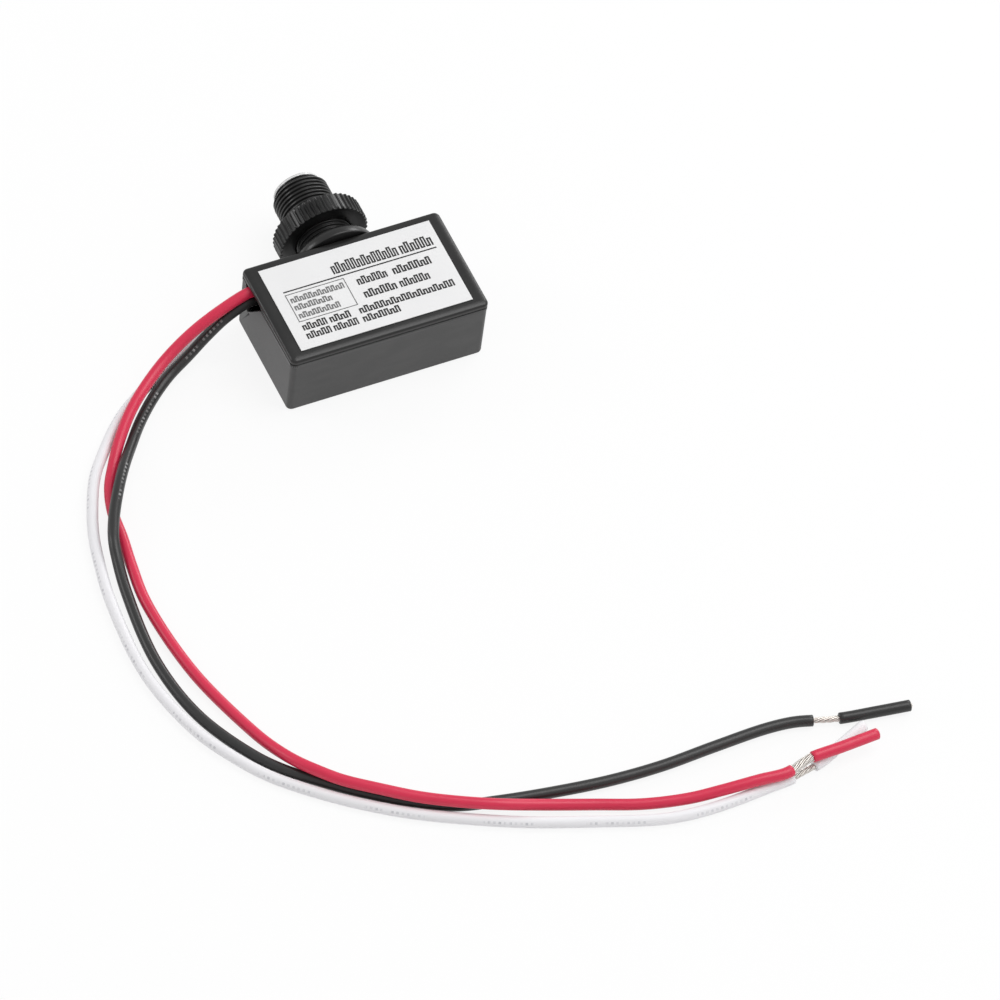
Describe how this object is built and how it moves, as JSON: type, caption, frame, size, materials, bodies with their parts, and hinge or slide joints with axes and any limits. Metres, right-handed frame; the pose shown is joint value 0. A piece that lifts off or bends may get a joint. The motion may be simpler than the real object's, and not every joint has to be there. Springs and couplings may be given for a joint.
{
  "type": "photocell switch",
  "caption": "Button photocell switch: moulded case with a labelled cover, threaded neck with a window, rubber gasket and ribbed lock nut, and loose coloured leads with bared ends.",
  "frame": {"origin": "below the middle of the case and neck, level with the lowest point of the lock nut", "axes": "+X along the case's long side, away from the lead exit; +Y out of the case along the threaded neck; +Z normal to the cover and label, so the label faces up"},
  "size_m": [0.1664, 0.2052, 0.0232],
  "materials": {
    "black_plastic": "satin",
    "black_rubber": "satin",
    "label_paper": "matte",
    "clear_window": "gloss",
    "red_insulation": "satin",
    "black_insulation": "satin",
    "white_insulation": "satin",
    "tinned_copper": "satin",
    "brass": "satin",
    "bimetal": "satin",
    "silver": "satin",
    "steel": "satin",
    "phenolic_board": "matte",
    "ceramic": "matte"
  },
  "bodies": {
    "case": {"base_board": "phenolic_board", "black_lead": "black_insulation", "black_slug": "black_insulation", "black_strands": "tinned_copper", "blade_rivet": "brass", "calibration_screw": "steel", "cds_cell": "ceramic", "cell_holder": "phenolic_board", "cell_lead_a": "tinned_copper", "cell_lead_b": "tinned_copper", "cover": "black_plastic", "fixed_contact": "silver", "gasket": "black_rubber", "heater_lead_a": "tinned_copper", "heater_lead_b": "tinned_copper", "heater_resistor": "ceramic", "housing": "black_plastic", "label": "label_paper", "lens": "clear_window", "line_terminal": "brass", "load_terminal": "brass", "neutral_terminal": "brass", "red_lead": "red_insulation", "red_slug": "red_insulation", "red_strands": "tinned_copper", "terminal_rivet_1": "brass", "terminal_rivet_2": "brass", "terminal_rivet_3": "brass", "white_lead": "white_insulation", "white_slug": "white_insulation", "white_strands": "tinned_copper"},
    "nut": {"lock_nut": "black_plastic"},
    "blade": {"bimetal_blade": "bimetal", "moving_contact": "silver"}
  },
  "joints": [
    {"name": "nut_travel", "type": "slide", "parent": "case", "child": "nut", "axis": [0, 1, 0], "range_m": [-0.0031, 0.0106]},
    {"name": "blade_bend", "type": "hinge", "parent": "case", "child": "blade", "pos_m": [-0.014, -0.0125, 0.0148], "axis": [0, -1, 0], "range_deg": [0, 3], "stiffness_Nm_per_rad": 0.01, "springref_deg": -2.86}
  ]
}
